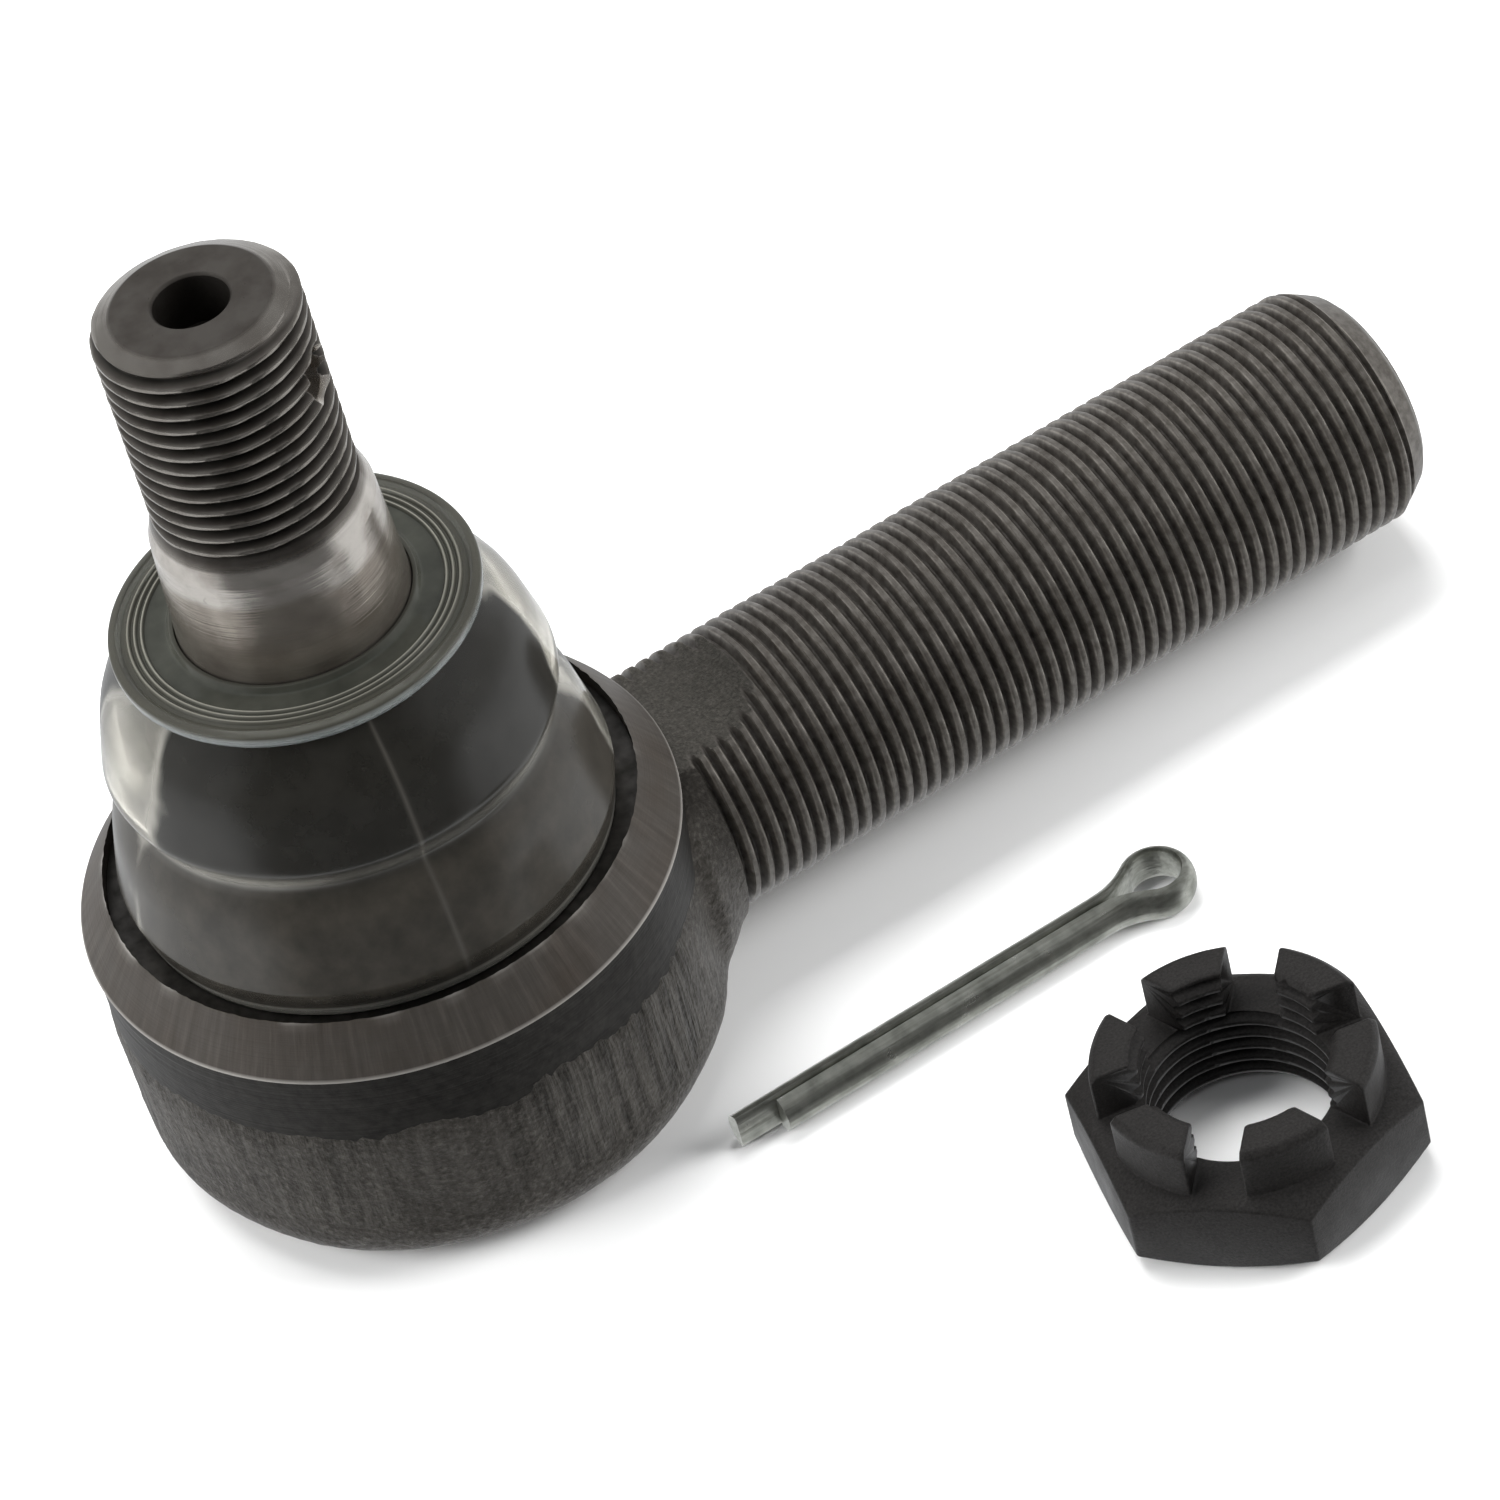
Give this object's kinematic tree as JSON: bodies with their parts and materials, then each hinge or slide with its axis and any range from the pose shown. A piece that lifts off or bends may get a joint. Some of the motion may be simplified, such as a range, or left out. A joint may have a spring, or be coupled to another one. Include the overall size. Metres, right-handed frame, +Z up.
{
  "type": "tie rod end",
  "caption": "Tie rod end with a forged head, a swivelling tapered ball stud under a clear boot, a threaded shank, and a loose castle nut and cotter pin.",
  "frame": {"origin": "centre of the forged head's flat bottom, on the ball stud's axis", "axes": "+Z up along the ball stud, +X along the threaded shank, +Y completes a right-handed frame"},
  "size_m": [0.1315, 0.1016, 0.0899],
  "materials": {
    "forged_steel": "as forged and oiled, with turned bands",
    "stud_steel": "turned and rolled",
    "bearing_plastic": "moulded acetal",
    "spring_steel": "tempered",
    "ring_steel": "pressed",
    "boot_polyurethane": "moulded, translucent",
    "disc_polyurethane": "moulded, smoky",
    "grease": "wet",
    "phosphated_steel": "black phosphate",
    "zinc_steel": "zinc plated"
  },
  "bodies": {
    "housing": {"housing": "forged_steel", "lower_bearing_shell": "bearing_plastic", "upper_bearing_shell": "bearing_plastic", "preload_disc_spring": "spring_steel", "closure_ring": "ring_steel", "boot_base_ring": "ring_steel"},
    "boot": {"dust_boot": "boot_polyurethane", "grease_fill": "grease"},
    "boot_head": {"boot_sealing_disc": "disc_polyurethane", "disc_insert_ring": "ring_steel", "neck_garter_ring": "spring_steel"},
    "stud": {"ball_stud": "stud_steel"},
    "castle_nut": {"castle_nut": "phosphated_steel"},
    "cotter_pin": {"cotter_pin": "zinc_steel"}
  },
  "joints": [
    {"name": "swing_direction", "type": "hinge", "parent": "housing", "child": "boot", "pos_m": [0, 0, 0.019], "axis": [0, 0, 1], "continuous": true},
    {"name": "stud_swing", "type": "hinge", "parent": "boot", "child": "boot_head", "pos_m": [0, 0, 0.019], "axis": [0, 1, 0], "range_deg": [-20, 20], "deforming": ["dust_boot", "grease_fill"]},
    {"name": "stud_spin", "type": "hinge", "parent": "boot_head", "child": "stud", "pos_m": [0, 0, 0.019], "axis": [0, 0, 1], "continuous": true},
    {"name": "nut_lift", "type": "slide", "parent": "housing", "child": "castle_nut", "axis": [0, 0, 1], "range_m": [0, 0.1]},
    {"name": "pin_lift", "type": "slide", "parent": "housing", "child": "cotter_pin", "axis": [0, 0, 1], "range_m": [0, 0.1]}
  ]
}
